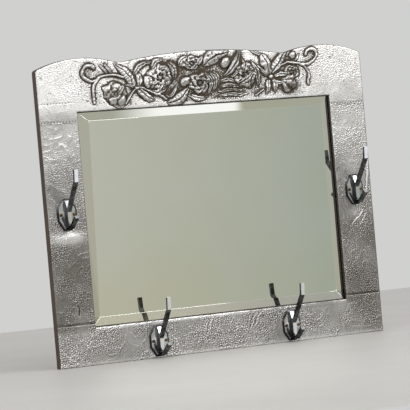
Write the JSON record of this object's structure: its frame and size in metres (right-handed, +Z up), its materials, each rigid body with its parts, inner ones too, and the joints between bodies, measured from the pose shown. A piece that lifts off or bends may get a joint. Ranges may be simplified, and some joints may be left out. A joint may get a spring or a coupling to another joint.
{
  "type": "hall mirror",
  "caption": "Landscape hall mirror: bevelled plate in a timber frame faced with hammered pewter, floral relief along a humped crest, coat hooks on the sides and bottom.",
  "frame": {"origin": "middle of the mirror opening, on the wall side of the backing boards", "axes": "+X to the viewer's right, +Y into the wall, +Z up"},
  "size_m": [0.8, 0.089, 0.653],
  "materials": {
    "pewter": "hammered pewter sheet with dark patina",
    "timber": "dark stained softwood",
    "pine": "bare aged softwood",
    "mirror": "bevelled silvered plate",
    "chrome": "polished",
    "brass": "slotted heads, worn",
    "steel": "zinc plated"
  },
  "bodies": {
    "frame": {"corner_dowels": "pine", "glazing_blocks": "pine", "top_rail": "timber", "bottom_rail": "timber", "left_stile": "timber", "right_stile": "timber", "top_facing": "pewter", "bottom_facing": "pewter", "left_facing": "pewter", "right_facing": "pewter", "top_seam_pins": "pewter", "bottom_seam_pins": "pewter", "mirror_plate": "mirror", "back_board_left": "pine", "back_board_middle": "pine", "back_board_right": "pine", "back_board_screws": "steel", "hook_left": "chrome", "hook_left_screws": "brass", "hook_right": "chrome", "hook_right_screws": "brass", "hook_lower_left": "chrome", "hook_lower_left_screws": "brass", "hook_lower_right": "chrome", "hook_lower_right_screws": "brass", "hanger_strap_left": "steel", "hanger_screws_left": "steel", "hanger_strap_right": "steel", "hanger_screws_right": "steel"},
    "ring_left": {"hanger_ring_left": "steel"},
    "ring_right": {"hanger_ring_right": "steel"}
  },
  "joints": [
    {"name": "ring_left_swing", "type": "hinge", "parent": "frame", "child": "ring_left", "pos_m": [-0.3655, -0.00342, 0.15], "axis": [1, 0, 0], "range_deg": [0, 170]},
    {"name": "ring_right_swing", "type": "hinge", "parent": "frame", "child": "ring_right", "pos_m": [0.3655, -0.00342, 0.15], "axis": [1, 0, 0], "range_deg": [0, 170]}
  ]
}
